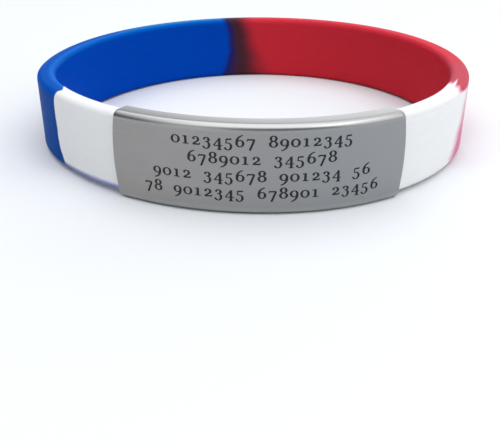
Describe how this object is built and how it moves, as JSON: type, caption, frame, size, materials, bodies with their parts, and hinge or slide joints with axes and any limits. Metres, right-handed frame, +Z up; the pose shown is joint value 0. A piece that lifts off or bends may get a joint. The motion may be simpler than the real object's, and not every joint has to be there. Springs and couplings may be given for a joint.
{
  "type": "medical alert bracelet",
  "caption": "Loop of moulded silicone band in white, blue and red, with a bent steel identity plate clipped over it, lying on its edge.",
  "frame": {"origin": "under the middle of the outer box, on the surface that the bracelet lies on", "axes": "+X to the right along the plate, -Y out through the plate's face, +Z up along the wrist"},
  "size_m": [0.0726, 0.0692, 0.0132],
  "materials": {
    "silicone": "satin moulded silicone, white by the plate, then blue on the left and red on the right",
    "steel": "brushed along the plate, softly bright on its bends"
  },
  "bodies": {
    "root": {"band": "silicone", "plate": "steel"}
  },
  "joints": []
}
